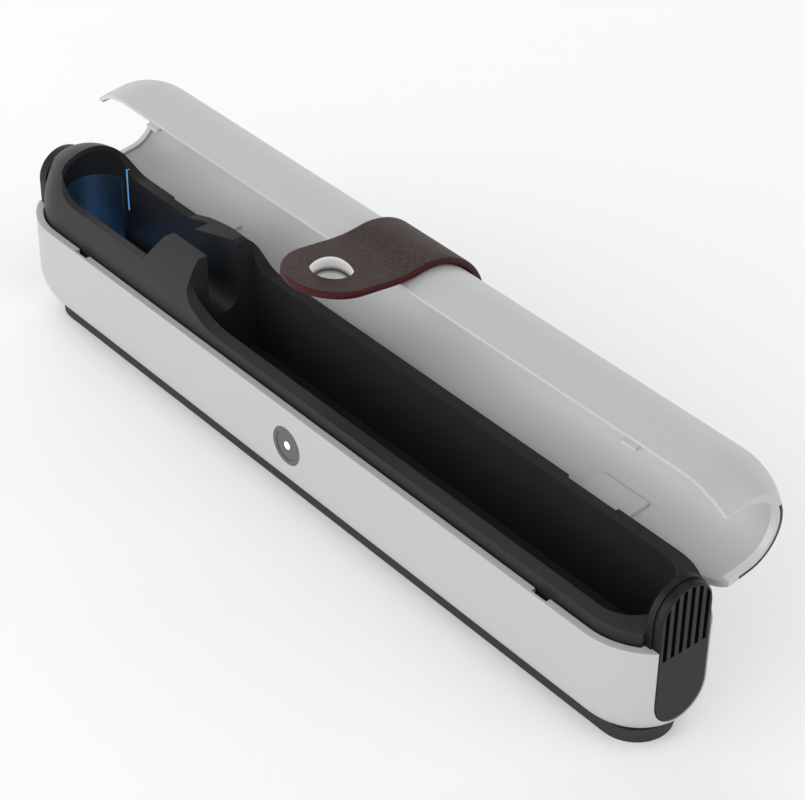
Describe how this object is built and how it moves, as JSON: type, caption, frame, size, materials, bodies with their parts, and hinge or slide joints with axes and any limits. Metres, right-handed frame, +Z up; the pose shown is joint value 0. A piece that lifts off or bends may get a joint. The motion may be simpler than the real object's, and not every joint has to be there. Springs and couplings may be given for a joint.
{
  "type": "uv toothbrush sterilizer",
  "caption": "Pocket case that sterilises and carries one toothbrush: hinged lid with a leather snap strap, lined tray with a lamp chamber, and a front push button.",
  "frame": {"origin": "centre of the flat rest face under the case", "axes": "+X along the case towards the plain fluted end, -Y the front with the button, +Z up"},
  "size_m": [0.226, 0.0498, 0.0641],
  "materials": {
    "white_plastic": "satin moulded",
    "dark_tray_plastic": "fine matte",
    "dark_cap_plastic": "matte, fluted",
    "pad_rubber": "matte",
    "trim_rubber": "matte",
    "button_steel": "satin dark",
    "lens_plastic": "clear, glossy",
    "leather": "brown grain with painted burgundy edges",
    "chrome_metal": "polished",
    "hinge_steel": "satin",
    "screw_steel": "plain",
    "board_laminate": "solder mask",
    "chip_plastic": "moulded",
    "battery_wrap": "foil wrap",
    "foam": "soft foam",
    "port_steel": "drawn sleeve",
    "window_quartz": "polished",
    "light_guide": "clear, lit blue",
    "reflector_sheet": "satin",
    "led_ceramic": "plain",
    "switch_plastic": "moulded",
    "magnet_nickel": "plated"
  },
  "bodies": {
    "base": {"lower_shell": "white_plastic", "base_pad": "pad_rubber", "inner_tray": "dark_tray_plastic", "end_cap_right": "dark_cap_plastic", "end_cap_left": "dark_cap_plastic", "tray_screws": "screw_steel", "main_board": "board_laminate", "board_chips": "chip_plastic", "board_screws": "screw_steel", "battery": "battery_wrap", "battery_pads": "foam", "charge_port": "port_steel", "lid_switch": "switch_plastic", "uv_window": "window_quartz", "uv_board": "board_laminate", "uv_leds": "led_ceramic", "uv_reflector": "reflector_sheet", "uv_light_guide": "light_guide", "button_board": "board_laminate", "tact_switches": "switch_plastic", "indicator_led": "led_ceramic", "hinge_base_screws": "screw_steel", "hinge_base_leaf_left": "hinge_steel", "hinge_base_leaf_right": "hinge_steel", "hinge_pin_left": "hinge_steel", "hinge_pin_right": "hinge_steel"},
    "power_button": {"button_disc": "button_steel", "button_lens": "lens_plastic"},
    "lid": {"lid_shell": "white_plastic", "lid_trim_left": "trim_rubber", "lid_trim_right": "trim_rubber", "hinge_lid_leaf_left": "hinge_steel", "hinge_lid_leaf_right": "hinge_steel", "hinge_lid_screws": "screw_steel", "strap_band": "leather", "strap_rivets": "chrome_metal"},
    "flap": {"strap_flap": "leather", "snap_cap": "chrome_metal", "snap_magnet": "magnet_nickel"}
  },
  "joints": [
    {"name": "lid_hinge", "type": "hinge", "parent": "base", "child": "lid", "pos_m": [0, 0.0146, 0.0295], "axis": [1, 0, 0], "range_deg": [0, 81.5]},
    {"name": "button_press", "type": "slide", "parent": "base", "child": "power_button", "axis": [0, 1, 0], "range_m": [0, 0.0005], "stiffness_N_per_m": 1500},
    {"name": "strap_bend", "type": "hinge", "parent": "lid", "child": "flap", "pos_m": [0, 0.0114, 0.05971], "axis": [-1, 0, 0], "range_deg": [-15, 75], "stiffness_Nm_per_rad": 0.02}
  ]
}
